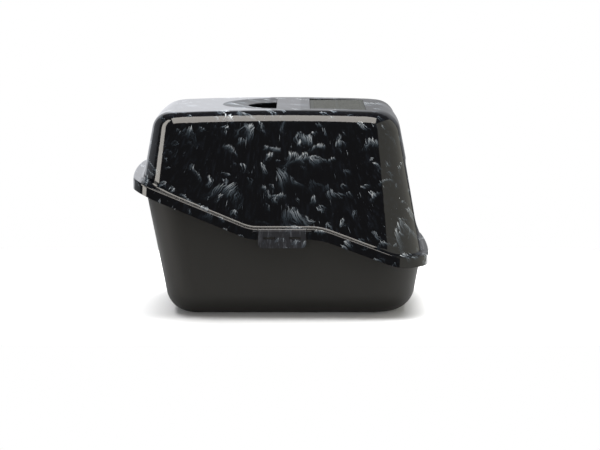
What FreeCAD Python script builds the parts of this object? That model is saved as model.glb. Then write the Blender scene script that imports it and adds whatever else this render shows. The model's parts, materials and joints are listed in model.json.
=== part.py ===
"""Hooded cat litter box: a matt pan, a lift-off hood with a hanging entry flap, two side
clips and a lift-out carbon filter.  Millimetres, +Z up, the door end at +X, the origin on
the floor under the middle of the box."""
import FreeCAD, Part
import math
import os
import Sketcher
from FreeCAD import Placement, Rotation, Vector

SIZES = {
    # rim that the hood's skirt draws around the box
    "rim_reach": 280.0, "rim_half": 195.0, "rim_back_radius": 55.0, "rim_front_radius": 80.0,
    "bow_radius": 2100.0, "skirt_drop": 20.0, "flange_round": 2.2,
    "root_round": 5.0, "wall": 2.5, "rim_gap": 2.3, "seat_gap": 0.3,
    # line of the rim's top seen from the side: high back, level middle, low front
    "seam_back_rise": 100.4, "seam_back_end": 58.0, "seam_level": 170.0, "seam_front_start": 72.0,
    "seam_front_end": 220.0, "seam_front_level": 115.0, "seam_reach": 300.0,
    "seam_back_bend": 70.0, "seam_front_bend": 120.0,
    # pan, given at the floor and at a level above its rim
    "pan_top": 280.0, "pan_back_low": 211.8, "pan_back_high": 265.5, "pan_front_low": 246.5,
    "pan_front_high": 297.2, "pan_half_low": 167.0, "pan_half_high": 184.0,
    "pan_back_corner": 62.0, "pan_front_corner": 84.0, "pan_bottom_round": 48.0, "pan_lift": 1.5,
    "lip_drop": 9.0, "notch_depth": 186.0,
    # hood, given at two levels beyond both of its ends
    "hood_low": 80.0, "hood_high": 400.0, "hood_back_low": 294.2, "hood_back_high": 234.4,
    "hood_front_low": 277.0, "hood_front_high": 214.6, "hood_half_low": 182.5,
    "hood_half_high": 166.0, "hood_back_corner_low": 90.0, "hood_back_corner_high": 48.0,
    "hood_front_corner_low": 104.0, "hood_front_corner_high": 54.0,
    "hood_top": 385.0, "crown_radius": 4600.0, "side_round": 30.0, "end_round": 44.0,
    # door
    "door_half": 118.0, "door_sill": 142.0, "door_head": 290.0, "door_low_corner": 40.0,
    "door_high_corner": 10.0, "tunnel_back": 218.0, "surround_depth": 1.5,
    "surround_half": 150.0, "surround_sill": 127.0, "surround_head": 300.0,
    "surround_block": 30.0,
    "flap_plane": 223.0, "flap_thickness": 3.0, "flap_gap": 3.0, "pivot_level": 284.0,
    "barrel_radius": 4.0, "barrel_half": 108.0, "peg_radius": 2.5, "peg_end": 123.5,
    "peg_play": 0.06, "peg_boss_radius": 4.2, "peg_boss_end": 124.5, "flap_trim": 9.0,
    # hand hold
    "grip_edge": -9.0, "scoop_length": 105.0, "scoop_half": 118.0, "scoop_depth": 5.5,
    "hole_length": 55.0, "hole_half": 62.0, "cup_margin": 5.0, "cup_under": 24.0,
    "cup_floor": 343.0, "cup_wall": 2.0, "grip_jamb": 4.0,
    # filter
    "vent_start": 54.0, "vent_end": 158.0, "vent_half": 108.0, "ledge": 6.0,
    "ledge_level": 377.5, "ledge_thickness": 3.0, "cover_thickness": 3.0, "tray_rim": 1.5,
    "tray_wall": 1.5, "tray_floor": 364.0, "slot_width": 3.2, "slot_pitch": 8.0,
    "tray_base": 2.0, "tray_slot_inset": 4.0, "tray_bar": 2.0, "cover_slot_inset": 7.0,
    "cover_bar": 2.5, "pad_thickness": 10.0, "part_gap": 0.5,
    # side clips
    "clip_middle": 2.0, "clip_half": 44.0, "clip_notch_half": 45.0, "clip_axis_y": 193.3,
    "clip_axis_z": 167.2, "clip_barrel": 3.0, "clip_step": 0.1, "clip_plate": 2.4,
    "clip_bottom": 134.3,
    "clip_corner": 8.0, "window_near": 13.0, "window_far": 34.5, "window_low": 150.9,
    "window_high": 155.1, "lug_play": 1.2, "pin_radius": 1.2, "pin_half": 53.0, "boss_half": 54.0,
    "pin_play": 0.05, "lug_low": 151.6, "lug_high": 154.4, "lug_reach": 194.3,
    # feet
    "foot_radius": 11.0, "foot_height": 3.0, "foot_back": -148.0, "foot_front": 172.0,
    "foot_side": 108.0, "foot_play": 0.05,
    # how far a cutting tool runs past what it cuts
    "overrun": 1.0,
}

# half width of the cutting blocks, height of the rim's prism and bottom of the seam's block,
# all well clear of the box
SPAN = 230.0
TALL = 300.0
DEEP = -60.0

doc = FreeCAD.newDocument("litter_box")
sheet = doc.addObject("Spreadsheet::Sheet", "Sizes")
for row, (alias, number) in enumerate(SIZES.items(), start=1):
    sheet.set(f"A{row}", alias)
    sheet.set(f"B{row}", str(number))
    sheet.setAlias(f"B{row}", alias)
doc.recompute()


def amount(total):
    """Number behind a sum of sheet names, such as 'rim_half - wall'."""
    value = 0.0
    sign = 1.0
    for word in total.split():
        if word in ("+", "-"):
            sign = 1.0 if word == "+" else -1.0
        else:
            value += sign * getattr(sheet, word)
    return value


def formula(total):
    """The same sum as an expression that reads the sheet."""
    return " ".join(word if word in ("+", "-") else f"Sizes.{word}" for word in total.split())


def bind(item, prop, total):
    item.setExpression(prop, formula(total))


def dimension(sketch, kind, where, total, sign=1.0):
    """Add a driving dimension to a sketch and tie it to the sheet."""
    index = sketch.addConstraint(Sketcher.Constraint(kind, *where, sign * amount(total)))
    text = formula(total) if sign > 0 else f"-({formula(total)})"
    sketch.setExpression(f"Constraints[{index}]", text)


def close_chain(sketch, count, smooth=True):
    """Join each sketch edge's end to the next one's start, tangent where smooth."""
    kind = "Tangent" if smooth else "Coincident"
    for index in range(count):
        sketch.addConstraint(Sketcher.Constraint(kind, index, 2, (index + 1) % count, 1))


def plan_sketch(name, level, back, front, half, back_corner, front_corner):
    """Rounded outline in plan, its two ends slightly bowed, at one level."""
    sketch = doc.addObject("Sketcher::SketchObject", name)
    bind(sketch, "Placement.Base.z", level)
    bow = amount("bow_radius")
    ends = []
    for reach, corner, way in ((amount(front), amount(front_corner), 1.0),
                               (amount(back), amount(back_corner), -1.0)):
        side = amount(half) - corner
        centre = way * (reach - bow)
        corner_x = centre + way * math.sqrt((bow - corner) ** 2 - side ** 2)
        turn = math.asin(side / (bow - corner))
        ends.append((centre, corner_x, side, corner, turn, way))
    up = Vector(0, 0, 1)

    def arc(x, y, radius, start, stop):
        return Part.ArcOfCircle(Part.Circle(Vector(x, y, 0), up, radius), start, stop)

    front_end, back_end = ends
    quarter = math.pi / 2
    edges = [
        Part.LineSegment(Vector(back_end[1], -amount(half), 0),
                         Vector(front_end[1], -amount(half), 0)),
        arc(front_end[1], -front_end[2], front_end[3], -quarter, -front_end[4]),
        arc(front_end[0], 0, bow, -front_end[4], front_end[4]),
        arc(front_end[1], front_end[2], front_end[3], front_end[4], quarter),
        Part.LineSegment(Vector(front_end[1], amount(half), 0),
                         Vector(back_end[1], amount(half), 0)),
        arc(back_end[1], back_end[2], back_end[3], quarter, math.pi - back_end[4]),
        arc(back_end[0], 0, bow, math.pi - back_end[4], math.pi + back_end[4]),
        arc(back_end[1], -back_end[2], back_end[3], math.pi + back_end[4], 3 * quarter),
    ]
    sketch.addGeometry(edges, False)
    close_chain(sketch, len(edges))
    for side in (0, 4):
        sketch.addConstraint(Sketcher.Constraint("Horizontal", side))
    for bowed in (2, 6):
        sketch.addConstraint(Sketcher.Constraint("PointOnObject", bowed, 3, -1))
        dimension(sketch, "Radius", (bowed,), "bow_radius")
    for index, corner in ((1, front_corner), (3, front_corner), (5, back_corner),
                          (7, back_corner)):
        dimension(sketch, "Radius", (index,), corner)
    dimension(sketch, "DistanceY", (-1, 1, 0, 1), half, -1.0)
    dimension(sketch, "DistanceY", (-1, 1, 4, 1), half)
    dimension(sketch, "DistanceX", (-1, 1, 2, 3), f"{front} - bow_radius")
    dimension(sketch, "DistanceX", (-1, 1, 6, 3), f"{back} - bow_radius", -1.0)
    return sketch


def loft(name, sections):
    solid = doc.addObject("Part::Loft", name)
    solid.Sections = sections
    solid.Solid = True
    solid.Ruled = True
    return solid


def extrude(name, sketch, direction, length):
    solid = doc.addObject("Part::Extrusion", name)
    solid.Base = sketch
    solid.DirMode = "Custom"
    solid.Dir = direction
    solid.LengthFwd = length
    solid.Solid = True
    return solid


def cut(name, base, tool):
    result = doc.addObject("Part::Cut", name)
    result.Base = base
    result.Tool = tool
    return result


def fuse(name, shapes):
    result = doc.addObject("Part::MultiFuse", name)
    result.Shapes = shapes
    return result


def common(name, shapes):
    result = doc.addObject("Part::MultiCommon", name)
    result.Shapes = shapes
    return result


def box(name, low, high):
    """Box between two corners; each coordinate is a number or a sum of sheet names."""
    solid = doc.addObject("Part::Box", name)
    for axis, side, start, stop in zip("xyz", ("Length", "Width", "Height"), low, high):
        begin = start if isinstance(start, float) else amount(start)
        end = stop if isinstance(stop, float) else amount(stop)
        setattr(solid, side, end - begin)
        base = solid.Placement.Base
        setattr(base, axis, begin)
        solid.Placement = Placement(base, Rotation())
        if isinstance(start, str):
            solid.setExpression(f"Placement.Base.{axis}", formula(start))
        if isinstance(start, str) and isinstance(stop, str):
            solid.setExpression(side, f"({formula(stop)}) - ({formula(start)})")
    return solid


def cylinder(name, radius, length, base, direction):
    """Cylinder whose radius is a sum of sheet names, from a base point along a direction."""
    solid = doc.addObject("Part::Cylinder", name)
    bind(solid, "Radius", radius)
    solid.Height = length
    solid.Placement = Placement(base, Rotation(Vector(0, 0, 1), direction))
    return solid


def draw_seam():
    """Side view of everything below the rim line, closed well under the floor."""
    reach = amount("seam_reach")
    level = amount("seam_level")
    rise = amount("seam_back_rise")
    corners = [Vector(-reach, level + rise, 0),
               Vector(-amount("seam_back_end"), level, 0),
               Vector(amount("seam_front_start"), level, 0),
               Vector(amount("seam_front_end"), amount("seam_front_level"), 0),
               Vector(reach, amount("seam_front_level"), 0),
               Vector(reach, DEEP, 0), Vector(-reach, DEEP, 0)]
    sketch = doc.addObject("Sketcher::SketchObject", "seam_side_view")
    sketch.Placement = Placement(Vector(), Rotation(Vector(1, 0, 0), 90))
    count = len(corners)
    lines = [Part.LineSegment(corners[i], corners[(i + 1) % count]) for i in range(count)]
    sketch.addGeometry(lines, False)
    close_chain(sketch, count, smooth=False)
    for index in (1, 3, 5):
        sketch.addConstraint(Sketcher.Constraint("Horizontal", index))
    for index in (4, 6):
        sketch.addConstraint(Sketcher.Constraint("Vertical", index))
    dimension(sketch, "DistanceX", (-1, 1, 0, 1), "seam_reach", -1.0)
    dimension(sketch, "DistanceX", (-1, 1, 1, 1), "seam_back_end", -1.0)
    dimension(sketch, "DistanceX", (-1, 1, 2, 1), "seam_front_start")
    dimension(sketch, "DistanceX", (-1, 1, 3, 1), "seam_front_end")
    dimension(sketch, "DistanceX", (-1, 1, 4, 1), "seam_reach")
    dimension(sketch, "DistanceY", (-1, 1, 1, 1), "seam_level")
    dimension(sketch, "DistanceY", (-1, 1, 3, 1), "seam_front_level")
    dimension(sketch, "DistanceY", (-1, 1, 0, 1), "seam_level + seam_back_rise")
    sketch.addConstraint(Sketcher.Constraint("DistanceY", -1, 1, 5, 1, DEEP))
    return sketch


def fillet_where(name, base, radii_of):
    """Fillet each edge for which radii_of gives a pair of radii."""
    doc.recompute()
    result = doc.addObject("Part::Fillet", name)
    result.Base = base
    chosen = []
    for number, edge in enumerate(base.Shape.Edges, start=1):
        radii = radii_of(edge)
        if radii:
            chosen.append((number, radii[0], radii[1]))
    result.Edges = chosen
    return result


def middle(edge):
    return edge.valueAt((edge.FirstParameter + edge.LastParameter) / 2)


def seam_region(name, drop=None):
    """Solid below the rim line, lowered by a sum of sheet names."""
    solid = extrude(f"{name}_sharp", seam_sketch, Vector(0, 1, 0), 2 * SPAN)
    lowered = amount(drop) if drop else 0.0
    solid.Placement = Placement(Vector(0, -SPAN, -lowered), Rotation())
    if drop:
        solid.setExpression("Placement.Base.z", f"-({formula(drop)})")
    bends = ((-amount("seam_back_end"), amount("seam_level"), amount("seam_back_bend")),
             (amount("seam_front_start"), amount("seam_level"), amount("seam_front_bend")),
             (amount("seam_front_end"), amount("seam_front_level"), amount("seam_front_bend")))

    def bend_radii(edge):
        at = middle(edge)
        for x, z, radius in bends:
            if abs(at.x - x) < 0.01 and abs(at.z + lowered - z) < 0.01:
                return radius, radius
        return None

    return fillet_where(name, solid, bend_radii)


def offset(total, inset):
    """Sum of sheet names with every term of a second sum taken off it."""
    return f"{total} - {inset.replace('+', '-')}" if inset else total


def rim_prism(name, inset=None):
    """Upright prism with the rim's outline, drawn in by a sum of sheet names."""
    sketch = plan_sketch(f"{name}_plan", "seat_gap",
                         *(offset(size, inset) for size in
                           ("rim_reach", "rim_reach", "rim_half", "rim_back_radius",
                            "rim_front_radius")))
    return extrude(name, sketch, Vector(0, 0, 1), TALL)


def pan_body(name, floor, inset=None):
    """Tapered block of the pan with its bottom edge rounded."""
    corners = [offset(size, inset) for size in ("pan_back_corner", "pan_front_corner")]
    low = plan_sketch(f"{name}_low", floor,
                      *(offset(size, inset) for size in
                        ("pan_back_low", "pan_front_low", "pan_half_low")), *corners)
    high = plan_sketch(f"{name}_high", "pan_top",
                       *(offset(size, inset) for size in
                         ("pan_back_high", "pan_front_high", "pan_half_high")), *corners)
    block = loft(f"{name}_block", [low, high])
    bottom = amount(floor)
    radius = amount(offset("pan_bottom_round", inset))
    return fillet_where(name, block,
                        lambda edge: (radius, radius) if middle(edge).z < bottom + 1 else None)


def hood_body(name, inset=None):
    """Tapered block of the hood under its crown, its top edge rounded more at the ends."""
    low = plan_sketch(f"{name}_low", "hood_low",
                      *(offset(size, inset) for size in
                        ("hood_back_low", "hood_front_low", "hood_half_low",
                         "hood_back_corner_low", "hood_front_corner_low")))
    high = plan_sketch(f"{name}_high", "hood_high",
                       *(offset(size, inset) for size in
                         ("hood_back_high", "hood_front_high", "hood_half_high",
                          "hood_back_corner_high", "hood_front_corner_high")))
    block = loft(f"{name}_block", [low, high])
    crown = cylinder(f"{name}_crown", offset("crown_radius", inset), 2 * SPAN,
                     Vector(0, -SPAN, 0), Vector(0, 1, 0))
    bind(crown, "Placement.Base.z", "hood_top - crown_radius")
    topped = common(f"{name}_topped", [block, crown])
    side = amount(offset("side_round", inset))
    end = amount(offset("end_round", inset))
    top = amount(offset("hood_top", inset)) - 12
    half = amount(offset("hood_half_high", inset)) - 0.5

    def radius_at(point):
        return side if abs(point.y) > half else end

    def top_radii(edge):
        if middle(edge).z < top:
            return None
        first, last = (edge.valueAt(edge.FirstParameter), edge.valueAt(edge.LastParameter))
        return radius_at(first), radius_at(last)

    return fillet_where(name, topped, top_radii)


def block_along_x(name, x_low, x_high, half, low, high, low_round, high_round):
    """Box along X, symmetric in Y, its lower and upper long edges rounded apart."""
    raw = box(f"{name}_raw", (x_low, 0.0, low), (x_high, 1.0, high))
    bind(raw, "Width", f"{half} + {half}")
    raw.Width = 2 * amount(half)
    raw.Placement.Base.y = -amount(half)
    raw.setExpression("Placement.Base.y", f"-({formula(half)})")

    def long_edge_radii(edge):
        ends = [vertex.Point for vertex in edge.Vertexes]
        if abs(ends[0].x - ends[1].x) < 1:
            return None
        level = (amount(low) + amount(high)) / 2
        radius = amount(low_round) if ends[0].z < level else amount(high_round)
        return radius, radius

    return fillet_where(name, raw, long_edge_radii)


def sides():
    """Name and direction of the box's two sides, -Y first."""
    return (("left", -1.0), ("right", 1.0))


def side_box(name, way, x_low, x_high, inner, outer, low, high):
    """Box on one side of the box, from a near to a far distance in Y."""
    near, far = amount(inner), (outer if isinstance(outer, float) else amount(outer))
    y_pair = (-far, -near) if way < 0 else (near, far)
    solid = box(name, (x_low, y_pair[0], low), (x_high, y_pair[1], high))
    return solid


def build_pan():
    """Matt pan: tapered tub, a rim turned out and down, and two catch lugs on each side."""
    inset = "wall + rim_gap"
    top = "wall + seat_gap"
    tub = common("pan_tub", [pan_body("pan_outer", "pan_lift"), seam_region("pan_rim_top", top)])
    slab = cut("pan_lip_slab",
               common("pan_lip_region", [rim_prism("pan_lip_outer", inset),
                                         seam_region("pan_lip_top", top)]),
               seam_region("pan_lip_end", f"{top} + lip_drop"))
    core = common("pan_lip_core", [rim_prism("pan_lip_inner", f"{inset} + wall"),
                                   seam_region("pan_lip_under", f"{top} + wall")])
    lip = cut("pan_lip", slab, core)
    notches = []
    lugs = []
    for side, way in sides():
        notches.append(side_box(f"pan_notch_{side}", way, "clip_middle - boss_half - part_gap",
                                "clip_middle + boss_half + part_gap", "notch_depth", SPAN,
                                "seam_front_level", "seam_level"))
        for hand, start, stop in (("a", "clip_middle - window_far + lug_play",
                                   "clip_middle - window_near - lug_play"),
                                  ("b", "clip_middle + window_near + lug_play",
                                   "clip_middle + window_far - lug_play")):
            lugs.append(side_box(f"pan_lug_{side}_{hand}", way, start, stop, "pan_half_low",
                                 "lug_reach", "lug_low", "lug_high"))
    rim = cut("pan_rim", lip, fuse("pan_notches", notches))
    whole = fuse("pan_whole", [tub, rim, *lugs])
    hollow = cut("pan_hollow", whole, pan_body("pan_inner", "pan_lift + wall", "wall"))
    seats = [foot_cylinder(f"foot_seat_{name}", x, y, "pan_lift", "foot_height", "foot_play")
             for name, x, y in foot_places()]
    pan = cut("pan_body", hollow, fuse("foot_seats", seats))
    return pan


def foot_places():
    """Name and place of each foot."""
    return [(f"{end}_{side}", f"foot_{end}", way * amount("foot_side"))
            for end in ("back", "front") for side, way in sides()]


def foot_cylinder(name, x, y, low, high, play=None):
    radius = f"foot_radius + {play}" if play else "foot_radius"
    start = amount(low) if low else 0.0
    solid = cylinder(name, radius, amount(high) - start, Vector(amount(x), y, start),
                     Vector(0, 0, 1))
    bind(solid, "Placement.Base.x", x)
    return solid


def build_feet():
    return {f"foot_{name}": foot_cylinder(f"foot_{name}_pad", x, y, None, "foot_height")
            for name, x, y in foot_places()}


def scoop_cap(name, end, grow=None):
    """Shallow half-oval cap under the hood's top, from a flattened ball, up to a distance end."""
    length, half, depth = amount("scoop_length"), amount("scoop_half"), amount("scoop_depth")
    curve = (length ** 2 + depth ** 2) / (2 * depth)
    extra = amount(grow) if grow else 0.0
    ball = doc.addObject("Part::Ellipsoid", f"{name}_ball")
    ball.Radius1 = curve + extra
    ball.Radius2 = curve + extra
    ball.Radius3 = curve * half / length + extra
    top = amount("hood_top")
    ball.Placement = Placement(Vector(amount("grip_edge"), 0, top - depth + curve), Rotation())
    reach = length + 2 * depth
    zone = box(f"{name}_zone", (-reach - depth, -half - depth, top - 2 * depth),
               (end, half + depth, top + depth))
    return common(name, [ball, zone])


def half_oval(name, grow, low, high, under):
    """Upright prism: a half oval behind the grip's edge, squared off a little past it."""
    edge = amount("grip_edge")
    half = amount("hole_half") + grow
    oval = doc.addObject("Part::Ellipse", f"{name}_outline")
    oval.MajorRadius = half
    oval.MinorRadius = amount("hole_length") + grow
    oval.Placement = Placement(Vector(edge, 0, low), Rotation(Vector(0, 0, 1), 90))
    prism = extrude(f"{name}_prism", oval, Vector(0, 0, 1), high - low)
    past = amount("overrun")
    rear_half = box(f"{name}_rear_half", (edge - 2 * half, -half - past, low - past),
                    (edge, half + past, high + past))
    rear = common(f"{name}_rear", [prism, rear_half])
    if not under:
        return rear
    square = box(f"{name}_square", (edge - past, -half, low), (edge + under, half, high))
    return fuse(name, [rear, square])


def build_cup():
    """Moulded cup under the hand hole: it gives the fingers room and closes the hood."""
    margin = amount("cup_margin")
    floor = amount("cup_floor")
    under = amount("cup_under")
    thick = amount("cup_wall")
    top = amount("hood_top - wall - seat_gap")
    tub = half_oval("cup_tub", margin, floor, top, under)
    hollow = half_oval("cup_hollow", margin - thick, floor + thick,
                       top + amount("overrun"), under - thick)
    scoop = scoop_cap("cup_clearance", amount("grip_edge + wall + seat_gap"), "wall + seat_gap")
    return cut("grip_cup_body", cut("cup_open", tub, hollow), scoop)


def on_surface(point, shape):
    return Part.Vertex(point).distToShape(shape)[0] < 0.02


def round_flange(skirt, inner):
    """Soften the long outer edge along the top of the skirt."""
    radius = amount("flange_round")
    mid_drop = amount("skirt_drop") / 2
    doc.recompute()
    core = inner.Shape
    upper = seam_top.Shape.Solids[0]

    def outer_radii(edge):
        at = middle(edge)
        if edge.Length < 5 or core.isInside(at, 0.05, True):
            return None
        if abs(edge.tangentAt((edge.FirstParameter + edge.LastParameter) / 2).z) > 0.9:
            return None
        lower = FreeCAD.Vector(at.x, at.y, at.z + mid_drop)
        return None if upper.isInside(lower, 0.01, True) else (radius, radius)

    return fillet_where("skirt_rounded", skirt, outer_radii)


def round_root(mass, outer):
    """Hollow rounding where the hood's wall rises from its flange."""
    radius = amount("root_round")
    doc.recompute()

    def root_radii(edge):
        at = middle(edge)
        if on_surface(at, outer.Shape.Shells[0]) and on_surface(at, seam_top.Shape.Shells[0]):
            return radius, radius
        return None

    return fillet_where("hood_rooted", mass, root_radii)


def front_face(level):
    """Distance of the hood's front from the middle at one level."""
    rise = amount("hood_high - hood_low")
    fall = amount("hood_front_low - hood_front_high")
    return amount("hood_front_low") - fall * (level - amount("hood_low")) / rise


def door_recess():
    """Flat panel sunk a little into the bowed front around the door."""
    sill = amount("surround_sill")
    head = amount("surround_head")
    lean = math.atan((front_face(sill) - front_face(head)) / (head - sill))
    half = amount("surround_half")
    panel = doc.addObject("Part::Box", "door_recess")
    bind(panel, "Length", "surround_block")
    panel.Width = 2 * half
    panel.Height = (head - sill) / math.cos(lean)
    start = front_face(sill) - amount("surround_depth") / math.cos(lean)
    panel.Placement = Placement(Vector(start, -half, sill),
                                Rotation(Vector(0, 1, 0), -math.degrees(lean)))
    return panel


def door_opening(name, x_low, x_high, change=None, grow=True):
    """Block along X with the doorway's outline, made larger or smaller all round."""
    out, back = ("+", "-") if grow else ("-", "+")

    def size(total, sign):
        return f"{total} {sign} {change}" if change else total

    return block_along_x(name, x_low, x_high, size("door_half", out), size("door_sill", back),
                         size("door_head", out), size("door_low_corner", out),
                         size("door_high_corner", out))


def hood_inside_parts(outer, recess):
    """What stands inside the hood's shell: door tunnel, filter seat and hand-hold skin."""
    tunnel = door_opening("tunnel_outer", "tunnel_back", "rim_reach", "wall")
    under = amount("ledge_level - ledge_thickness")
    margin = amount("part_gap + wall")
    half = amount("vent_half") + margin
    seat = box("vent_seat", (amount("vent_start") - margin, -half, under),
               (amount("vent_end") + margin, half, amount("hood_top")))
    scoop = scoop_cap("scoop_skin", amount("grip_edge + wall"), "wall")
    allowed = cut("hood_outer_recessed", outer, recess)
    return common("hood_inside", [allowed, fuse("hood_inside_parts", [tunnel, seat, scoop])])


def hood_openings():
    """Everything cut through the finished hood."""
    past = amount("overrun")
    above = amount("hood_top") + past
    edge = amount("grip_edge")
    grip_half = amount("hole_half - grip_jamb")
    start = amount("vent_start - part_gap")
    end = amount("vent_end + part_gap")
    half = amount("vent_half + part_gap")
    ledge = amount("ledge")
    under_grip = box("under_grip", (edge - past, -grip_half, amount("cup_floor")),
                     (edge + amount("wall") + past, grip_half,
                      amount("hood_top - ledge_thickness") - past))
    tools = [
        scoop_cap("scoop", edge),
        half_oval("hand_hole", 0.0, amount("cup_floor"), above, 0.0),
        under_grip,
        box("vent_recess", (start, -half, amount("ledge_level")), (end, half, above)),
        box("vent_aperture", (start + ledge, -half + ledge, amount("cup_floor")),
            (end - ledge, half - ledge, above)),
        door_opening("doorway", "tunnel_back - wall", "seam_reach"),
        cylinder("peg_bores", "peg_radius + peg_play", 2 * amount("peg_boss_end + overrun"),
                 Vector(amount("flap_plane"), -amount("peg_boss_end + overrun"),
                        amount("pivot_level")), Vector(0, 1, 0)),
    ]
    for side, way in sides():
        tools.append(side_box(f"clip_notch_{side}", way, "clip_middle - clip_notch_half",
                              "clip_middle + clip_notch_half",
                              "clip_axis_y - clip_barrel - part_gap", SPAN,
                              "seam_level - skirt_drop - overrun", "seam_level + overrun"))
    return fuse("hood_openings", tools)


def clip_cylinder(name, way, radius, half):
    """Cylinder along a side clip's hinge axis."""
    x_mid, x_half = amount("clip_middle"), amount(half)
    centre = Vector(x_mid - x_half, way * amount("clip_axis_y"), amount("clip_axis_z"))
    return cylinder(name, radius, 2 * x_half, centre, Vector(1, 0, 0))


def build_hood():
    """Glossy hood: shell, flange and skirt, door tunnel, hand hold, filter seat, clip bosses."""
    outer = hood_body("hood_outer")
    flange_under = seam_region("flange_under", "wall")
    upper = cut("hood_upper", outer, flange_under)
    slab = cut("skirt_slab", common("skirt_region", [rim_prism("skirt_outer"), seam_top]),
               seam_region("skirt_end", "skirt_drop"))
    inner_prism = rim_prism("skirt_inner", "wall")
    core = common("skirt_core", [inner_prism, flange_under])
    skirt = round_flange(cut("skirt_raw", slab, core), inner_prism)
    mass = round_root(fuse("hood_mass", [upper, skirt]), outer)
    recess = door_recess()
    shell = cut("hood_hollowed", cut("hood_recessed", mass, recess),
                hood_body("hood_inner", "wall"))
    bosses = []
    bores = []
    for side, way in sides():
        bosses.append(clip_cylinder(f"clip_boss_{side}", way, "clip_barrel", "boss_half"))
        bores.append(clip_cylinder(f"clip_bore_{side}", way, "pin_radius + pin_play",
                                   "boss_half"))
        start = way * amount("door_half")
        length = amount("peg_boss_end - door_half")
        bosses.append(cylinder(f"peg_boss_{side}", "peg_boss_radius", length,
                               Vector(amount("flap_plane"), start, amount("pivot_level")),
                               Vector(0, way, 0)))
    whole = fuse("hood_whole", [shell, hood_inside_parts(outer, recess), *bosses])
    return cut("hood_body", cut("hood_opened", whole, hood_openings()),
               fuse("clip_bores", bores))


def build_clip(side, way):
    """Side clip: barrel on a pin, a plate with two windows that drop over the pan's lugs."""
    name = f"side_clip_{side}"
    plate = side_box(f"{name}_plate", way, "clip_middle - clip_half", "clip_middle + clip_half",
                     "clip_axis_y + clip_step", "clip_axis_y + clip_step + clip_plate",
                     "clip_bottom", "clip_axis_z")
    corner = amount("clip_corner")

    def corner_radii(edge):
        ends = [vertex.Point for vertex in edge.Vertexes]
        across = abs(ends[0].y - ends[1].y) > 1
        return (corner, corner) if across and ends[0].z < amount("window_low") else None

    rounded = fillet_where(f"{name}_rounded", plate, corner_radii)
    barrel = clip_cylinder(f"{name}_barrel", way, "clip_barrel", "clip_half")
    windows = []
    for hand, start, stop in (("a", "clip_middle - window_far", "clip_middle - window_near"),
                              ("b", "clip_middle + window_near", "clip_middle + window_far")):
        windows.append(side_box(f"{name}_window_{hand}", way, start, stop,
                                "clip_axis_y - clip_barrel - overrun", SPAN,
                                "window_low", "window_high"))
    bore = clip_cylinder(f"{name}_bore", way, "pin_radius + pin_play", "boss_half")
    return cut(f"{name}_body", fuse(f"{name}_solid", [rounded, barrel]),
               fuse(f"{name}_openings", [*windows, bore]))


def build_pin(side, way):
    return clip_cylinder(f"clip_pin_{side}_body", way, "pin_radius", "pin_half")


def build_flap():
    """Entry flap: plate, barrel along its top and a peg at each end."""
    half_thick = amount("flap_thickness") / 2
    plane = amount("flap_plane")
    plate = door_opening("flap_plate", plane - half_thick, plane + half_thick, "flap_gap",
                         grow=False)
    top = box("flap_trim_block", ("flap_plane - flap_trim", -SPAN, "pivot_level"),
              ("flap_plane + flap_trim", SPAN, "door_head"))
    pivot = Vector(plane, 0, amount("pivot_level"))

    def along_y(name, radius, half):
        return cylinder(name, radius, 2 * amount(half), pivot - Vector(0, amount(half), 0),
                        Vector(0, 1, 0))

    return fuse("flap_body", [cut("flap_plate_cut", plate, top),
                              along_y("flap_barrel", "barrel_radius", "barrel_half"),
                              along_y("flap_pegs", "peg_radius", "peg_end")])


def slotted(name, plate, low, high, count_width, middle_bar):
    """Cut a row of slots along X into a plate lying between two corners."""
    width = amount("slot_width")
    pitch = amount("slot_pitch")
    count = int((count_width - pitch) / pitch)
    x_mid = (low[0] + high[0]) / 2
    slots = []
    for number in range(count):
        y = (number - (count - 1) / 2) * pitch
        for part, start, stop in (("a", low[0], x_mid - middle_bar),
                                  ("b", x_mid + middle_bar, high[0])):
            slots.append(box(f"{name}_slot_{number}{part}", (start, y - width / 2, low[1]),
                             (stop, y + width / 2, high[1])))
    return cut(name, plate, fuse(f"{name}_slots", slots))


def build_filter():
    """Open tray on the hood's ledge, the carbon pad in it and the slotted cover above."""
    gap = amount("part_gap")
    x_low, x_high = amount("vent_start"), amount("vent_end")
    half, ledge, thin = amount("vent_half"), amount("ledge"), amount("tray_wall")
    rim_low = amount("ledge_level")
    rim_high = rim_low + amount("tray_rim")
    floor = amount("tray_floor")
    inset = ledge + gap
    past = amount("overrun")
    rim = box("tray_rim_plate", (x_low, -half, rim_low), (x_high, half, rim_high))
    basket = box("tray_basket", (x_low + inset, -half + inset, floor),
                 (x_high - inset, half - inset, rim_high))
    inner = inset + thin
    well = box("tray_well", (x_low + inner, -half + inner, floor + amount("tray_base")),
               (x_high - inner, half - inner, rim_high + past))
    tray_open = cut("tray_open", fuse("tray_solid", [rim, basket]), well)
    tray_in = inner + amount("tray_slot_inset")
    tray = slotted("tray_body", tray_open, (x_low + tray_in, floor - past),
                   (x_high - tray_in, floor + amount("tray_base") + past),
                   2 * (half - inner), amount("tray_bar"))
    room = inner + gap
    pad_low = floor + amount("tray_base + seat_gap")
    pad = box("pad_body", (x_low + room, -half + room, pad_low),
              (x_high - room, half - room, pad_low + amount("pad_thickness")))
    cover_low = rim_high + amount("seat_gap")
    cover_high = cover_low + amount("cover_thickness")
    plate = box("cover_plate", (x_low, -half, cover_low), (x_high, half, cover_high))
    cover_in = amount("cover_slot_inset")
    cover = slotted("cover_body", plate, (x_low + cover_in, cover_low - past),
                    (x_high - cover_in, cover_high + past), 2 * half, amount("cover_bar"))
    return tray, pad, cover


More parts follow.
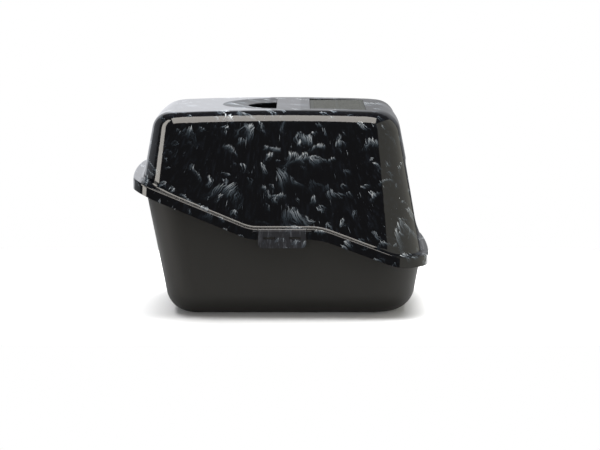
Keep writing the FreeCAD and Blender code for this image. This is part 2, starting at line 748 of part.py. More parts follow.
seam_sketch = draw_seam()
seam_top = seam_region("seam_top")
tray, pad, cover = build_filter()
nodes = {"base_pan": build_pan(), **build_feet(), "hood_shell": build_hood(),
         "grip_cup": build_cup(), "filter_tray": tray, "carbon_filter": pad,
         "filter_cover": cover, "entry_flap": build_flap()}
for side, way in sides():
    nodes[f"side_clip_{side}"] = build_clip(side, way)
    nodes[f"clip_pin_{side}"] = build_pin(side, way)
doc.recompute()

for item in doc.Objects:
    if "Invalid" in item.State or "Error" in item.State:
        raise RuntimeError(f"{item.Name} failed: {item.State}")
os.makedirs("parts", exist_ok=True)
for label, item in nodes.items():
    shape = item.Shape
    if shape.isNull() or not shape.isValid() or not shape.Solids:
        raise RuntimeError(f"{label} has no valid solid")
    item.Label = label
    shape.exportStep(f"parts/{label}.step")
    print(label, len(shape.Solids), round(shape.Volume / 1000, 1), "cm3")
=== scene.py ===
import json
import math

import bpy
from bpy.props import FloatProperty, PointerProperty
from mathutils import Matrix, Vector

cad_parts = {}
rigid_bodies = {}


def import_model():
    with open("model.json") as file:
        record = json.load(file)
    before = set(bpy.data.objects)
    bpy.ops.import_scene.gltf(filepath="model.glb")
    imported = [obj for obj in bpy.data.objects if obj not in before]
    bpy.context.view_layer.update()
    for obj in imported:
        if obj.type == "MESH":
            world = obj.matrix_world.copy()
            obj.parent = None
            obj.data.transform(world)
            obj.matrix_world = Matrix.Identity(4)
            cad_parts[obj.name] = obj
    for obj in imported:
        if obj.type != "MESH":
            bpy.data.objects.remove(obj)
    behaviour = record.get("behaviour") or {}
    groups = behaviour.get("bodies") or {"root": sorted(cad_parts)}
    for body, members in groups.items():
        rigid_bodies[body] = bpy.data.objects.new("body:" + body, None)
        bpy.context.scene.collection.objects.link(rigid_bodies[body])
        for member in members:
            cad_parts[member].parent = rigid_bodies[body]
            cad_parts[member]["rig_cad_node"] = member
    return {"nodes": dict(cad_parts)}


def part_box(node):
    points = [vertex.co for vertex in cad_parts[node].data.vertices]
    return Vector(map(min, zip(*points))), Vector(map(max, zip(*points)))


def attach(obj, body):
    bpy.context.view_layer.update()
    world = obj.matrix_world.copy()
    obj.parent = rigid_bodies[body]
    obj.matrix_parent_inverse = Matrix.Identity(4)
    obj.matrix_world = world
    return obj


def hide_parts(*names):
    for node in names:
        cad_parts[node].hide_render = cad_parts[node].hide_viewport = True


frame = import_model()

bl_info = {
    "name": "Hooded Cat Litter Box",
    "version": (1, 0, 0),
    "blender": (4, 5, 0),
    "location": "View3D > Sidebar > Litter Box",
    "description": "Finishes a hooded cat litter box over its CAD frame",
    "category": "Object",
}

MM = 0.001

TOUCH = 1e-6             # places nearer than this are the same, in metres
OVERRUN = 3 * MM         # how far a cutting tool reaches past its piece

CLIP_STEP = 0.1 * MM     # from a clip's hinge axis to the inside of its plate
CLIP_BORE = 1.25 * MM    # radius of a clip's hinge bore
BARREL_EDGE = 0.6 * MM   # rounding of the ends of the flap's barrel
PEG_EDGE = 0.5 * MM      # rounding of the ends of the flap's pegs
PAD_INSET = 0.3 * MM     # room left for the felt's uneven surface
PAD_VOXEL = 1.8 * MM     # size of the felt's faces
FELT_LUMP = 9.0 * MM     # size of the felt's unevenness

SCOOP_REACH = 105 * MM   # hand hold's scoop: its reach towards the back
SCOOP_HALF = 118 * MM    # its half width
SCOOP_EDGE = -9 * MM     # place of its straight edge along the box
SCOOP_DEPTH = 20 * MM    # the scoop lies within this of the hood's top

FLOW_FAN = 3.8           # turn of the mould flow along the box, in radians a metre

# layers of marks: spacing in metres, share of cells with a mark, half width and longest tail
# in cells, fine lines across a cell, seed
MARKS = ((0.085, 0.42, 0.50, 0.50, 34.0, 4.4),
         (0.046, 0.58, 0.38, 0.60, 22.0, 7.7),
         (0.026, 0.62, 0.26, 1.10, 14.0, 1.3))

# the back wall's light falls off from left to right: start and end along X, radiance
BACK_WALL = ((-2.65, -0.06, 1.1), (-0.06, 0.04, 0.55), (0.04, 0.16, 0.45), (0.16, 0.40, 0.28),
             (0.40, 2.65, 0.3))
AMBIENT = 0.12           # radiance of the room around the lights

CAMERA_PLACE = (0.035, -4.0, 0.738)
CAMERA_PITCH = 7.8       # degrees down
CAMERA_SHIFT = -0.0352   # upward shift, as a share of the sensor's width


# ---------------------------------------------------------------- mesh helpers

def select_only(*objects):
    """Select these objects and no others, the first one active."""
    bpy.ops.object.select_all(action="DESELECT")
    for item in objects:
        item.select_set(True)
    bpy.context.view_layer.objects.active = objects[0]


def settle(item):
    """Put the object's origin at the world's, unturned and unscaled."""
    select_only(item)
    bpy.ops.object.transform_apply(location=True, rotation=True, scale=True)
    return item


def add_box(name, low, high):
    """Box between two corners, in metres."""
    bpy.ops.object.select_all(action="DESELECT")
    low, high = Vector(low), Vector(high)
    bpy.ops.mesh.primitive_cube_add(size=1.0, location=(low + high) / 2)
    item = bpy.context.object
    item.name = name
    item.scale = high - low
    return settle(item)


def add_rod(name, start, end, radius, sides=48):
    """Cylinder between two points, in metres."""
    bpy.ops.object.select_all(action="DESELECT")
    start, end = Vector(start), Vector(end)
    axis = end - start
    bpy.ops.mesh.primitive_cylinder_add(vertices=sides, radius=radius, depth=axis.length,
                                        location=(start + end) / 2,
                                        rotation=axis.to_track_quat("Z", "Y").to_euler())
    item = bpy.context.object
    item.name = name
    return settle(item)


def apply_modifier(item, kind, **settings):
    """Add a modifier with these settings and apply it."""
    select_only(item)
    modifier = item.modifiers.new(kind.title(), kind)
    for key, value in settings.items():
        setattr(modifier, key, value)
    bpy.ops.object.modifier_apply(modifier=modifier.name)
    return item


def round_edges(item, radius, steps=2, angle=30.0):
    """Round every edge sharper than an angle."""
    return apply_modifier(item, "BEVEL", width=radius, segments=steps, limit_method="ANGLE",
                          angle_limit=math.radians(angle), use_clamp_overlap=True)


def boolean(item, tool, operation):
    """Add a tool object to the item or take it away, and drop the tool."""
    apply_modifier(item, "BOOLEAN", object=tool, operation=operation, solver="EXACT")
    bpy.data.objects.remove(tool)
    return item


def join(first, *others):
    """Make one object of several."""
    select_only(first, *others)
    bpy.ops.object.join()
    return first


def shade_smooth(item, angle=35.0):
    """Smooth shading that keeps edges sharper than an angle crisp."""
    select_only(item)
    bpy.ops.object.shade_smooth_by_angle(angle=math.radians(angle))
    return apply_modifier(item, "WEIGHTED_NORMAL", keep_sharp=True)


def round_chosen(item, chosen, radius, steps):
    """Round the edges whose two ends both pass a test, in edit mode."""
    select_only(item)
    bpy.ops.object.mode_set(mode="EDIT")
    bpy.ops.mesh.select_mode(type="EDGE")
    bpy.ops.mesh.select_all(action="DESELECT")
    bpy.ops.object.mode_set(mode="OBJECT")
    points = item.data.vertices
    for edge in item.data.edges:
        edge.select = all(chosen(points[i].co) for i in edge.vertices)
    bpy.ops.object.mode_set(mode="EDIT")
    bpy.ops.mesh.bevel(offset=radius, offset_type="OFFSET", segments=steps, affect="EDGES")
    bpy.ops.object.mode_set(mode="OBJECT")
    return item


def round_lower_corners(item, axis, radius, steps):
    """Round a box's two lower edges that run along an axis, 0 for X or 1 for Y."""
    across = 1 - axis
    corners = [Vector(corner) for corner in item.bound_box]
    bottom = min(corner.z for corner in corners) + TOUCH
    for pick in (min, max):
        side = pick(corner[across] for corner in corners)
        round_chosen(item, lambda co: co.z < bottom and abs(co[across] - side) < TOUCH,
                     radius, steps)
    return item


def duplicate(item, name, shift, turn=0.0):
    """Copy with its own mesh, turned about Z and then moved."""
    twin = item.copy()
    twin.data = item.data.copy()
    twin.name = name
    bpy.context.scene.collection.objects.link(twin)
    twin.rotation_euler.z = turn
    twin.location = shift
    return settle(twin)


# ------------------------------------------------------------ material helpers

def colour(code, alpha=1.0):
    """Linear colour of an sRGB hex code."""
    channels = [int(code[i:i + 2], 16) / 255 for i in (0, 2, 4)]
    return [c / 12.92 if c <= 0.04045 else ((c + 0.055) / 1.055) ** 2.4
            for c in channels] + [alpha]


def add_node(tree, kind, inputs=(), **settings):
    """Node with its settings, and with inputs given as sockets to link or as values."""
    item = tree.nodes.new(kind)
    for key, value in settings.items():
        setattr(item, key, value)
    for key, value in dict(inputs).items():
        if isinstance(value, bpy.types.NodeSocket):
            tree.links.new(value, item.inputs[key])
        else:
            item.inputs[key].default_value = value
    return item


def new_material(name, **values):
    """Material with a Principled shader set to these values; returns it, its tree and shader."""
    material = bpy.data.materials.new(name)
    material.use_nodes = True
    tree = material.node_tree
    shader = tree.nodes["Principled BSDF"]
    for key, value in values.items():
        shader.inputs[key.replace("_", " ")].default_value = value
    return material, tree, shader


def maths(tree, operation, *values):
    """Result of one sum on sockets or values."""
    return add_node(tree, "ShaderNodeMath", enumerate(values), operation=operation).outputs[0]


def smooth_step(tree, value, low, high, out_low=0.0, out_high=1.0):
    """Value taken smoothly from one range to another, held at its ends."""
    return add_node(tree, "ShaderNodeMapRange",
                    {0: value, 1: low, 2: high, 3: out_low, 4: out_high},
                    interpolation_type="SMOOTHSTEP").outputs[0]


def object_coordinates(tree):
    """Places on the piece, in metres."""
    return add_node(tree, "ShaderNodeTexCoord").outputs["Object"]


def grain(tree, shader, size, depth):
    """Fine moulded grain: grains of a size and depth in metres."""
    texture = add_node(tree, "ShaderNodeTexNoise",
                       {"Vector": object_coordinates(tree), "Scale": 1 / size, "Detail": 3.0})
    bump = add_node(tree, "ShaderNodeBump", {"Height": texture.outputs["Fac"],
                                             "Distance": depth, "Strength": 1.0})
    tree.links.new(bump.outputs[0], shader.inputs["Normal"])


def assign(material, slot_name, *items):
    """Give objects this one material; slot_name is not used."""
    for item in items:
        item.data.materials.clear()
        item.data.materials.append(material)


# ------------------------------------------------------------------- materials

def flow_angle(tree):
    """Angle of the mould flow, which fans out along the box from above its middle."""
    axes = add_node(tree, "ShaderNodeSeparateXYZ", {0: object_coordinates(tree)})
    return maths(tree, "MULTIPLY", axes.outputs[0], FLOW_FAN)


def feathers(tree, flow, cell, density, spread, reach, lines, seed):
    """Mask of brush-like marks: a ragged arched front with fine lines trailing down from it.

    cell is the spacing in metres, density the share of cells with a mark, spread a mark's
    half width and reach its longest tail in cells, lines the fine lines across a cell."""
    # cells of uneven outline, and the place in each from its own middle, in cells
    place = add_node(tree, "ShaderNodeMapping",
                     {"Vector": object_coordinates(tree), "Location": (seed, seed * 0.7, seed)})
    warp = add_node(tree, "ShaderNodeTexNoise",
                    {"Vector": place.outputs[0], "Scale": 1.4 / cell, "Detail": 3.0})
    shift = add_node(tree, "ShaderNodeVectorMath",
                     {0: warp.outputs["Color"], 1: (0.5, 0.5, 0.5)}, operation="SUBTRACT")
    swayed = add_node(tree, "ShaderNodeVectorMath",
                      {0: shift.outputs[0], 1: (cell * 0.55,) * 3, 2: place.outputs[0]},
                      operation="MULTIPLY_ADD").outputs[0]
    cells = add_node(tree, "ShaderNodeTexVoronoi", {"Vector": swayed, "Scale": 1 / cell})
    local = add_node(tree, "ShaderNodeVectorMath",
                     {0: swayed, 1: cells.outputs["Position"]}, operation="SUBTRACT")
    local = add_node(tree, "ShaderNodeVectorMath",
                     {0: local.outputs[0], "Scale": 1 / cell}, operation="SCALE")
    chance = add_node(tree, "ShaderNodeSeparateColor", {0: cells.outputs["Color"]})
    # each mark turned with the flow, and a little by chance
    turn = maths(tree, "ADD", flow, maths(tree, "MULTIPLY_ADD", chance.outputs[0], 0.9, -0.5))
    local = add_node(tree, "ShaderNodeVectorRotate",
                     {"Vector": local.outputs[0], "Angle": turn}, rotation_type="Y_AXIS")
    axes = add_node(tree, "ShaderNodeSeparateXYZ", {0: local.outputs[0]})
    across = maths(tree, "MULTIPLY_ADD", axes.outputs[1], 0.8, axes.outputs[0])
    up = maths(tree, "MULTIPLY_ADD", axes.outputs[1], 0.3, axes.outputs[2])
    # how far a point lies below the mark's arched front
    bend = maths(tree, "MULTIPLY_ADD", chance.outputs[2], -2.6, -0.9)
    lean = maths(tree, "MULTIPLY_ADD", chance.outputs[0], -1.2, 0.5)
    arch = maths(tree, "MULTIPLY_ADD", maths(tree, "MULTIPLY_ADD", across, bend, lean),
                 across, 0.22)
    below = maths(tree, "SUBTRACT", arch, up)
    # fine lines that spread out down the tail, and make the front ragged
    fan = maths(tree, "DIVIDE", across, maths(tree, "MULTIPLY_ADD", below, 0.7, 1.0))
    fine_place = add_node(tree, "ShaderNodeCombineXYZ",
                          {0: maths(tree, "MULTIPLY", fan, lines),
                           1: maths(tree, "MULTIPLY", below, 1.3),
                           2: maths(tree, "MULTIPLY", chance.outputs[2], 40.0)})
    fine = add_node(tree, "ShaderNodeTexNoise",
                    {"Vector": fine_place.outputs[0], "Scale": 1.0, "Detail": 5.0,
                     "Roughness": 0.7}).outputs["Fac"]
    ragged = maths(tree, "ADD", below, maths(tree, "MULTIPLY_ADD", fine, 0.7, -0.35))
    front = smooth_step(tree, ragged, 0.0, 0.035)
    # a tail that fades in its own length, and a brighter lip along the front
    length = maths(tree, "MULTIPLY_ADD", chance.outputs[2], reach, 0.16)
    tail = smooth_step(tree, maths(tree, "DIVIDE", ragged, length), 0.0, 1.0, 1.0, 0.0)
    tail = maths(tree, "POWER", tail, 1.7)
    streak = smooth_step(tree, fine, 0.47, 0.60)
    lip = maths(tree, "MULTIPLY", smooth_step(tree, ragged, 0.0, 0.06, 1.0, 0.0),
                smooth_step(tree, fine, 0.38, 0.54, 0.10, 1.0))
    body = maths(tree, "MULTIPLY", tail, maths(tree, "MULTIPLY_ADD", streak, 0.95, 0.02))
    width = smooth_step(tree, maths(tree, "ABSOLUTE", across), spread * 0.35, spread, 1.0, 0.0)
    mask = maths(tree, "MULTIPLY", maths(tree, "MAXIMUM", body, lip), front)
    mask = maths(tree, "MULTIPLY", mask, width)
    present = maths(tree, "LESS_THAN", chance.outputs[1], density)
    return maths(tree, "MULTIPLY", mask, present)


def hairlines(tree, flow, across, along, low, high):
    """Mask of thin separate lines along the flow: spacing across and along in metres."""
    turned = add_node(tree, "ShaderNodeVectorRotate",
                      {"Vector": object_coordinates(tree), "Angle": flow},
                      rotation_type="Y_AXIS")
    place = add_node(tree, "ShaderNodeMapping",
                     {"Vector": turned.outputs[0],
                      "Scale": (1 / across, 1 / across, 1 / along)})
    lines = add_node(tree, "ShaderNodeTexNoise",
                     {"Vector": place.outputs[0], "Scale": 1.0, "Detail": 3.0,
                      "Roughness": 0.55})
    return smooth_step(tree, lines.outputs["Fac"], low, high)


def dull_scoop(tree):
    """Roughness: the half-oval scoop of the hand hold is finely matted, the rest is glossy."""
    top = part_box("hood_shell")[1].z
    axes = add_node(tree, "ShaderNodeSeparateXYZ", {0: object_coordinates(tree)})
    along = maths(tree, "MULTIPLY_ADD", axes.outputs[0], 1 / SCOOP_REACH,
                  -SCOOP_EDGE / SCOOP_REACH)
    side = maths(tree, "MULTIPLY", axes.outputs[1], 1 / SCOOP_HALF)
    radius = maths(tree, "SQRT", maths(tree, "ADD", maths(tree, "MULTIPLY", along, along),
                                       maths(tree, "MULTIPLY", side, side)))
    inside = maths(tree, "MULTIPLY", maths(tree, "LESS_THAN", radius, 0.99),
                   maths(tree, "LESS_THAN", along, -0.001))
    inside = maths(tree, "MULTIPLY", inside,
                   maths(tree, "GREATER_THAN", axes.outputs[2], top - SCOOP_DEPTH))
    return maths(tree, "MULTIPLY_ADD", inside, 0.26, 0.06)


def marbled_gloss(name, richness, dark, light):
    """Marbled plastic: richness scales the share of marks, dark and light are the ground, which
    on the clips is lightened to grey as a painted sheen.
    """
    # glossy black polystyrene with white and pale blue marbling drawn out by the mould flow
    material, tree, shader = new_material(name, Roughness=0.06, IOR=1.52)
    flow = flow_angle(tree)
    layers = [feathers(tree, flow, cell, share * richness, *shape)
              for cell, share, *shape in MARKS]
    veins = maths(tree, "MAXIMUM", maths(tree, "MAXIMUM", layers[0], layers[1]), layers[2])
    sparse = maths(tree, "MULTIPLY", hairlines(tree, flow, 0.0030, 0.035, 0.68, 0.76), 0.6)
    total = maths(tree, "MAXIMUM", veins, sparse)
    drift = add_node(tree, "ShaderNodeTexNoise",
                     {"Vector": object_coordinates(tree), "Scale": 13.0, "Detail": 2.0})
    total = maths(tree, "MULTIPLY", total,
                  smooth_step(tree, drift.outputs["Fac"], 0.36, 0.56, 0.12, 1.0))
    ground = add_node(tree, "ShaderNodeMix",
                      {0: hairlines(tree, flow, 0.006, 0.022, 0.50, 0.80),
                       6: colour(dark), 7: colour(light)}, data_type="RGBA")
    tint = add_node(tree, "ShaderNodeMix",
                    {0: total, 6: colour("6f8698"), 7: colour("f0f2f2")}, data_type="RGBA")
    mixed = add_node(tree, "ShaderNodeMix",
                     {0: total, 6: ground.outputs[2], 7: tint.outputs[2]}, data_type="RGBA")
    tree.links.new(mixed.outputs[2], shader.inputs["Base Color"])
    tree.links.new(dull_scoop(tree), shader.inputs["Roughness"])
    return material


def matt_anthracite():
    # pan: matt moulded polypropylene, warm anthracite
    material, tree, shader = new_material("anthracite_matt_polypropylene",
                                          Base_Color=colour("242321"), Roughness=0.55,
                                          IOR=1.49, Specular_IOR_Level=0.25)
    grain(tree, shader, 0.9 * MM, 0.04 * MM)
    return material


def gloss_black():
    # finger cup: glossy black polystyrene
    return new_material("black_gloss_polystyrene", Base_Color=colour("141418"),
                        Roughness=0.2, IOR=1.52)[0]


def matt_cover():
    # filter cover and tray: matt dark grey polypropylene
    material, tree, shader = new_material("grey_matt_polypropylene",
                                          Base_Color=colour("2c2e2c"), Roughness=0.6, IOR=1.49)
    grain(tree, shader, 0.7 * MM, 0.03 * MM)
    return material


def smoked_clear():
    # entry flap: smoked clear polystyrene
    return new_material("smoked_clear_polystyrene", Base_Color=colour("8c8f94"),
                        Roughness=0.04, IOR=1.55, Transmission_Weight=0.9)[0]


def foot_rubber():
    # feet: soft black rubber
    return new_material("black_rubber", Base_Color=colour("161616"), Roughness=0.8)[0]


def carbon_felt():
    # filter pad: carbon-loaded felt
    material, tree, shader = new_material("carbon_felt", Base_Color=colour("1a1a1c"),
                                          Roughness=0.95, Specular_IOR_Level=0.2)
    grain(tree, shader, 1.6 * MM, 0.5 * MM)
    return material


def pin_nylon():
    # clip pins: black nylon
    return new_material("black_nylon", Base_Color=colour("121212"), Roughness=0.4)[0]


# -------------------------------------------------------------------- settings

def length_setting(name, description, default):
    """Length property in metres, from a default in millimetres."""
    return FloatProperty(name=name, description=description, default=default * MM,
                         unit="LENGTH", subtype="DISTANCE", precision=5)


class ClipSettings(bpy.types.PropertyGroup):
    corner: length_setting("Corner", "Rounding of the clip's lower corners", 8.0)
    edge: length_setting("Edge", "Rounding of the clip's edges", 0.42)
    window_near: length_setting("Window start", "Distance from the middle to a window", 13.0)
    window_far: length_setting("Window end", "Distance from the middle to a window's end", 34.5)
    window_low: length_setting("Window sill", "Height of a window's lower edge", 150.9)
    window_high: length_setting("Window head", "Height of a window's upper edge", 155.1)
    barrel: length_setting("Barrel", "Radius of the hinge barrel", 3.0)
    plate: length_setting("Plate", "Thickness of the clip's plate", 2.4)


class FlapSettings(bpy.types.PropertyGroup):
    edge: length_setting("Edge", "Rounding of the flap's edges", 0.9)
    half_width: length_setting("Half width", "Half the width of the flap's plate", 115.0)
    low_corner: length_setting("Lower corner", "Rounding of the flap's lower corners", 37.0)
    thickness: length_setting("Thickness", "Thickness of the flap's plate", 3.0)
    barrel: length_setting("Barrel", "Radius of the barrel along the flap's top", 4.0)
    barrel_half: length_setting("Barrel half length", "Half the barrel's length", 108.0)
    peg: length_setting("Peg", "Radius of the pegs", 2.5)


class FilterSettings(bpy.types.PropertyGroup):
    edge: length_setting("Edge", "Rounding of the cover's edges", 0.5)
    slot: length_setting("Slot", "Width of a slot in the cover", 3.2)
    pitch: length_setting("Pitch", "Distance between slots", 8.0)
    frame: length_setting("Frame", "Width of the cover's plain edge", 7.0)
    bar: length_setting("Bar", "Half width of the cover's middle bar", 2.5)
    pad_round: length_setting("Pad rounding", "Rounding of the felt pad's edges", 1.6)
    pad_fluff: length_setting("Pad unevenness", "How far the felt's surface wanders", 0.35)


class FootSettings(bpy.types.PropertyGroup):
    edge: length_setting("Edge", "Rounding of a foot's edges", 0.6)


class StageSettings(bpy.types.PropertyGroup):
    focal: FloatProperty(name="Focal length", description="Camera's focal length in millimetres",
                         default=125.4)
    floor: length_setting("Floor", "Half width of the floor", 700.0)
    floor_half: length_setting("Floor depth", "Half depth of the floor", 520.0)
    key: FloatProperty(name="Key radiance", description="Brightness of the upper softbox",
                       default=7.0)


class LitterBoxSettings(bpy.types.PropertyGroup):
    clip: PointerProperty(type=ClipSettings)
    flap: PointerProperty(type=FlapSettings)
    filter: PointerProperty(type=FilterSettings)
    foot: PointerProperty(type=FootSettings)
    stage: PointerProperty(type=StageSettings)


# ------------------------------------------------------------------- operators

class LITTERBOX_OT_shell(bpy.types.Operator):
    """Give the pan, hood, finger cup, tray and pins their finishes"""
    bl_idname = "litterbox.shell"
    bl_label = "Pan and hood finishes"

    def execute(self, context):
        nodes = frame["nodes"]
        marbled = marbled_gloss("marbled_gloss_polystyrene", 1.0, "050508", "171b22")
        assign(marbled, "hood", nodes["hood_shell"])
        assign(matt_anthracite(), "pan", nodes["base_pan"])
        assign(gloss_black(), "cup", nodes["grip_cup"])
        assign(matt_cover(), "tray", nodes["filter_tray"])
        assign(pin_nylon(), "pin", nodes["clip_pin_left"], nodes["clip_pin_right"])
        return {"FINISHED"}


class LITTERBOX_OT_clips(bpy.types.Operator):
    """Model the two side clips"""
    bl_idname = "litterbox.clips"
    bl_label = "Side clips"

    def execute(self, context):
        size = context.scene.litter_box.clip
        # clips: the hood's marbled plastic, its ground lightened to grey as a painted sheen of
        # reflected light
        material = marbled_gloss("marbled_gloss_painted_sheen", 1.9, "2e2e31", "5a5c61")
        low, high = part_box("side_clip_left")
        axis_y, axis_z = low.y + size.barrel, high.z - size.barrel
        inner = axis_y - CLIP_STEP
        outer = inner - size.plate
        middle = (low.x + high.x) / 2
        clip = add_box("clip_left", (low.x, outer, low.z), (high.x, inner, axis_z))
        round_lower_corners(clip, 1, size.corner, 10)
        for start, end in ((-size.window_far, -size.window_near),
                           (size.window_near, size.window_far)):
            tool = add_box("tool", (middle + start, outer - OVERRUN, size.window_low),
                           (middle + end, inner + OVERRUN, size.window_high))
            boolean(clip, tool, "DIFFERENCE")
        barrel = add_rod("barrel", (low.x, axis_y, axis_z), (high.x, axis_y, axis_z),
                         size.barrel)
        boolean(clip, barrel, "UNION")
        bore = add_rod("bore", (low.x - MM, axis_y, axis_z), (high.x + MM, axis_y, axis_z),
                       CLIP_BORE, 24)
        boolean(clip, bore, "DIFFERENCE")
        round_edges(clip, size.edge, 2, 40.0)
        twin = duplicate(clip, "clip_right", (2 * middle, 0.0, 0.0), math.pi)
        for side, piece in (("left", clip), ("right", twin)):
            shade_smooth(piece)
            assign(material, "clip", piece)
            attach(piece, f"clip_{side}")
            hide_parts(f"side_clip_{side}")
        return {"FINISHED"}


class LITTERBOX_OT_flap(bpy.types.Operator):
    """Model the hanging entry flap"""
    bl_idname = "litterbox.flap"
    bl_label = "Entry flap"

    def execute(self, context):
        size = context.scene.litter_box.flap
        low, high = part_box("entry_flap")
        plane = (low.x + high.x) / 2
        pivot = high.z - size.barrel
        half = size.half_width
        flap = add_box("flap", (plane - size.thickness / 2, -half, low.z),
                       (plane + size.thickness / 2, half, pivot))
        round_lower_corners(flap, 0, size.low_corner, 14)
        round_edges(flap, size.edge, 3, 40.0)
        barrel = add_rod("barrel", (plane, -size.barrel_half, pivot),
                         (plane, size.barrel_half, pivot), size.barrel)
        round_edges(barrel, BARREL_EDGE, 2, 40.0)
        pegs = add_rod("pegs", (plane, low.y, pivot), (plane, high.y, pivot), size.peg, 32)
        round_edges(pegs, PEG_EDGE, 2, 40.0)
        boolean(flap, barrel, "UNION")
        boolean(flap, pegs, "UNION")
        shade_smooth(flap)
        assign(smoked_clear(), "flap", flap)
        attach(flap, "flap")
        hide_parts("entry_flap")
        return {"FINISHED"}


class LITTERBOX_OT_filter(bpy.types.Operator):
    """Model the slotted filter cover and the felt pad under it"""
    bl_idname = "litterbox.filter"
    bl_label = "Filter cover and pad"

    def execute(self, context):
        size = context.scene.litter_box.filter
        low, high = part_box("filter_cover")
        cover = add_box("filter_cover_plate", low, high)
        middle = (low.x + high.x) / 2
        width = high.y - low.y
        count = int((width - size.pitch) / size.pitch)
        tools = []
        for number in range(count):
            y = (number - (count - 1) / 2) * size.pitch
            for start, end in ((low.x + size.frame, middle - size.bar),
                               (middle + size.bar, high.x - size.frame)):
                tools.append(add_box("slot", (start, y - size.slot / 2, low.z - MM),
                                     (end, y + size.slot / 2, high.z + MM)))
        boolean(cover, join(*tools), "DIFFERENCE")
        round_edges(cover, size.edge, 2, 40.0)
        shade_smooth(cover)
        assign(matt_cover(), "cover", cover)
        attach(cover, "filter")
        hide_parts("filter_cover")

        low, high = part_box("carbon_filter")
        inset = Vector((PAD_INSET, PAD_INSET, PAD_INSET))
        pad = add_box("felt_pad", low + inset, high - inset)
        round_edges(pad, size.pad_round, 3, 30.0)
        apply_modifier(pad, "REMESH", mode="VOXEL", voxel_size=PAD_VOXEL)
        wander = bpy.data.textures.new("felt", "CLOUDS")
        wander.noise_scale = FELT_LUMP
        apply_modifier(pad, "DISPLACE", texture=wander, strength=size.pad_fluff * 2,
                       mid_level=0.8, texture_coords="GLOBAL")
        shade_smooth(pad, 60.0)
        assign(carbon_felt(), "carbon", pad)
        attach(pad, "filter")
        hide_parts("carbon_filter")
        return {"FINISHED"}


class LITTERBOX_OT_feet(bpy.types.Operator):
    """Model the four rubber feet"""
    bl_idname = "litterbox.feet"
    bl_label = "Feet"

    def execute(self, context):
        size = context.scene.litter_box.foot
        rubber = foot_rubber()
        low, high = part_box("foot_back_left")
        first = (low + high) / 2
        pad = add_rod("foot_back_left_pad", (first.x, first.y, low.z), (first.x, first.y, high.z),
                      (high.x - low.x) / 2, 64)
        round_edges(pad, size.edge, 3, 40.0)
        pads = {"foot_back_left": pad}
        for name in ("foot_back_right", "foot_front_left", "foot_front_right"):
            low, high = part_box(name)
            pads[name] = duplicate(pad, f"{name}_pad", (low + high) / 2 - first)
        for name, foot in pads.items():
            shade_smooth(foot)
            assign(rubber, "foot", foot)
            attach(foot, "base")
            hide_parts(name)
        return {"FINISHED"}


def add_light(name, place, target, width, height, radiance, code, diffuse=True, glossy=True):
    """Rectangular light facing a point: its size in metres, radiance, colour, and whether it
    lights matt surfaces and shows in glossy ones."""
    bpy.ops.object.select_all(action="DESELECT")
    bpy.ops.object.light_add(type="AREA", location=place)
    light = bpy.context.object
    light.name = name
    light.rotation_euler = (Vector(target) - Vector(place)).to_track_quat("-Z", "Y").to_euler()
    light.data.shape = "RECTANGLE"
    light.data.size = width
    light.data.size_y = height
    light.data.energy = radiance * width * height * math.pi
    light.data.color = colour(code)[:3]
    light.visible_camera = False
    light.visible_diffuse = diffuse
    light.visible_glossy = glossy
    return light


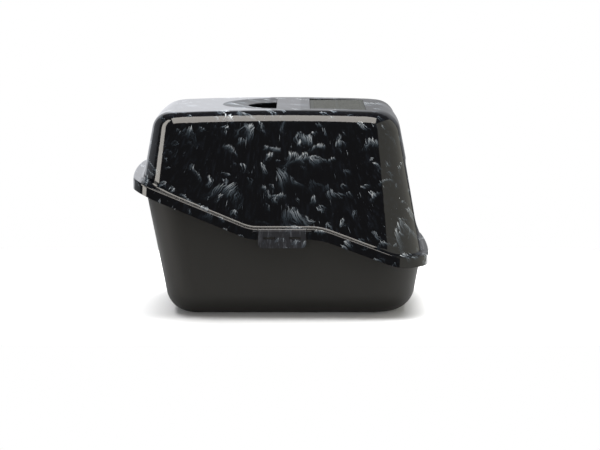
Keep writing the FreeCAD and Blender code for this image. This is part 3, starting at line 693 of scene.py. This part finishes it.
class LITTERBOX_OT_stage(bpy.types.Operator):
    """Build the floor, lights, world and camera"""
    bl_idname = "litterbox.stage"
    bl_label = "Stage"

    def execute(self, context):
        size = context.scene.litter_box.stage
        scene = context.scene
        bpy.ops.object.select_all(action="DESELECT")
        bpy.ops.mesh.primitive_plane_add(size=1.0, location=(0.0, 0.1, 0.0))
        floor = context.object
        floor.name = "floor"
        floor.scale = (2 * size.floor, 2 * size.floor_half, 1.0)
        settle(floor)
        floor.visible_diffuse = False  # it throws no light back up at the pan
        # floor: plain white paint, quite matt
        white = new_material("white_floor_paint", Base_Color=colour("f2f2f2"), Roughness=0.9,
                             Specular_IOR_Level=0.0)[0]
        floor.data.materials.append(white)
        middle = (0.0, 0.0, 0.25)
        lights = [
            add_light("key", (0.0, -0.95, 2.05), middle, 2.6, 1.6, size.key, "fff9f1",
                      diffuse=False),
            add_light("strip", (-1.90, -0.66, 1.1), (0.0, 0.0, 1.1), 0.56, 3.0, size.key,
                      "fffaf2", diffuse=False),
            add_light("left_panel", (-2.4, 1.2, 0.7), (0.0, 0.0, 0.7), 2.4, 2.6, 0.35,
                      "e6ecf5"),
            add_light("side_panel", (2.1, -0.25, 0.7), (0.0, 0.0, 0.7), 4.4, 2.6, 0.8,
                      "f2f0e2"),
            add_light("top_fill", (0.0, 0.7, 2.4), (0.0, 0.7, 0.0), 3.2, 2.6, 8.4, "ffffff",
                      glossy=False),
            add_light("ceiling", (0.0, 0.9, 2.4), (0.0, 0.9, 0.0), 3.2, 1.8, 1.8, "eef0f4",
                      diffuse=False),
            add_light("front_fill", (0.0, -3.5, 0.5), (0.0, 0.0, 0.5), 4.0, 0.9, 6.5, "ffffff",
                      glossy=False),
        ]
        for start, end, radiance in BACK_WALL:
            x = (start + end) / 2
            lights.append(add_light("back_panel", (x, 2.6, 1.1), (x, 0.0, 1.1), end - start, 2.6,
                                    radiance, "e6e8ee"))

        world = bpy.data.worlds.new("studio")
        scene.world = world
        world.use_nodes = True
        tree = world.node_tree
        plain = tree.nodes["Background"]
        plain.inputs["Color"].default_value = colour("ffffff")
        plain.inputs["Strength"].default_value = AMBIENT
        bright = add_node(tree, "ShaderNodeBackground",
                          {"Color": colour("ffffff"), "Strength": 1.0})
        rays = add_node(tree, "ShaderNodeLightPath")
        mix = add_node(tree, "ShaderNodeMixShader",
                       {0: rays.outputs["Is Camera Ray"], 1: plain.outputs[0],
                        2: bright.outputs[0]})
        tree.links.new(mix.outputs[0], tree.nodes["World Output"].inputs["Surface"])

        bpy.ops.object.select_all(action="DESELECT")
        bpy.ops.object.camera_add(location=CAMERA_PLACE)
        camera = context.object
        camera.rotation_euler = (math.radians(90.0 - CAMERA_PITCH), 0.0, 0.0)
        camera.data.lens = size.focal
        camera.data.sensor_width = 36.0
        camera.data.shift_y = CAMERA_SHIFT
        camera.data.clip_end = 50.0
        scene.camera = camera
        scene.view_settings.view_transform = "Standard"
        return {"FINISHED"}


class LITTERBOX_PT_panel(bpy.types.Panel):
    """Buttons for each part of the litter box"""
    bl_idname = "LITTERBOX_PT_panel"
    bl_label = "Litter Box"
    bl_space_type = "VIEW_3D"
    bl_region_type = "UI"
    bl_category = "Litter Box"

    def draw(self, context):
        settings = context.scene.litter_box
        for operator, group in STEPS:
            self.layout.operator(operator)
            if group:
                part = getattr(settings, group)
                for name in part.__annotations__:
                    self.layout.prop(part, name)


STEPS = (("litterbox.shell", ""), ("litterbox.clips", "clip"), ("litterbox.flap", "flap"),
         ("litterbox.filter", "filter"), ("litterbox.feet", "foot"), ("litterbox.stage", "stage"))

CLASSES = (ClipSettings, FlapSettings, FilterSettings, FootSettings, StageSettings,
           LitterBoxSettings, LITTERBOX_OT_shell, LITTERBOX_OT_clips, LITTERBOX_OT_flap,
           LITTERBOX_OT_filter, LITTERBOX_OT_feet, LITTERBOX_OT_stage, LITTERBOX_PT_panel)


def register():
    for item in CLASSES:
        bpy.utils.register_class(item)
    bpy.types.Scene.litter_box = PointerProperty(type=LitterBoxSettings)


def unregister():
    del bpy.types.Scene.litter_box
    for item in reversed(CLASSES):
        bpy.utils.unregister_class(item)


def main():
    """Register the add-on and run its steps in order."""
    register()
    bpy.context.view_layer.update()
    for operator, _ in STEPS:
        group, name = operator.split(".")
        getattr(getattr(bpy.ops, group), name)()


if __name__ == "__main__":
    main()
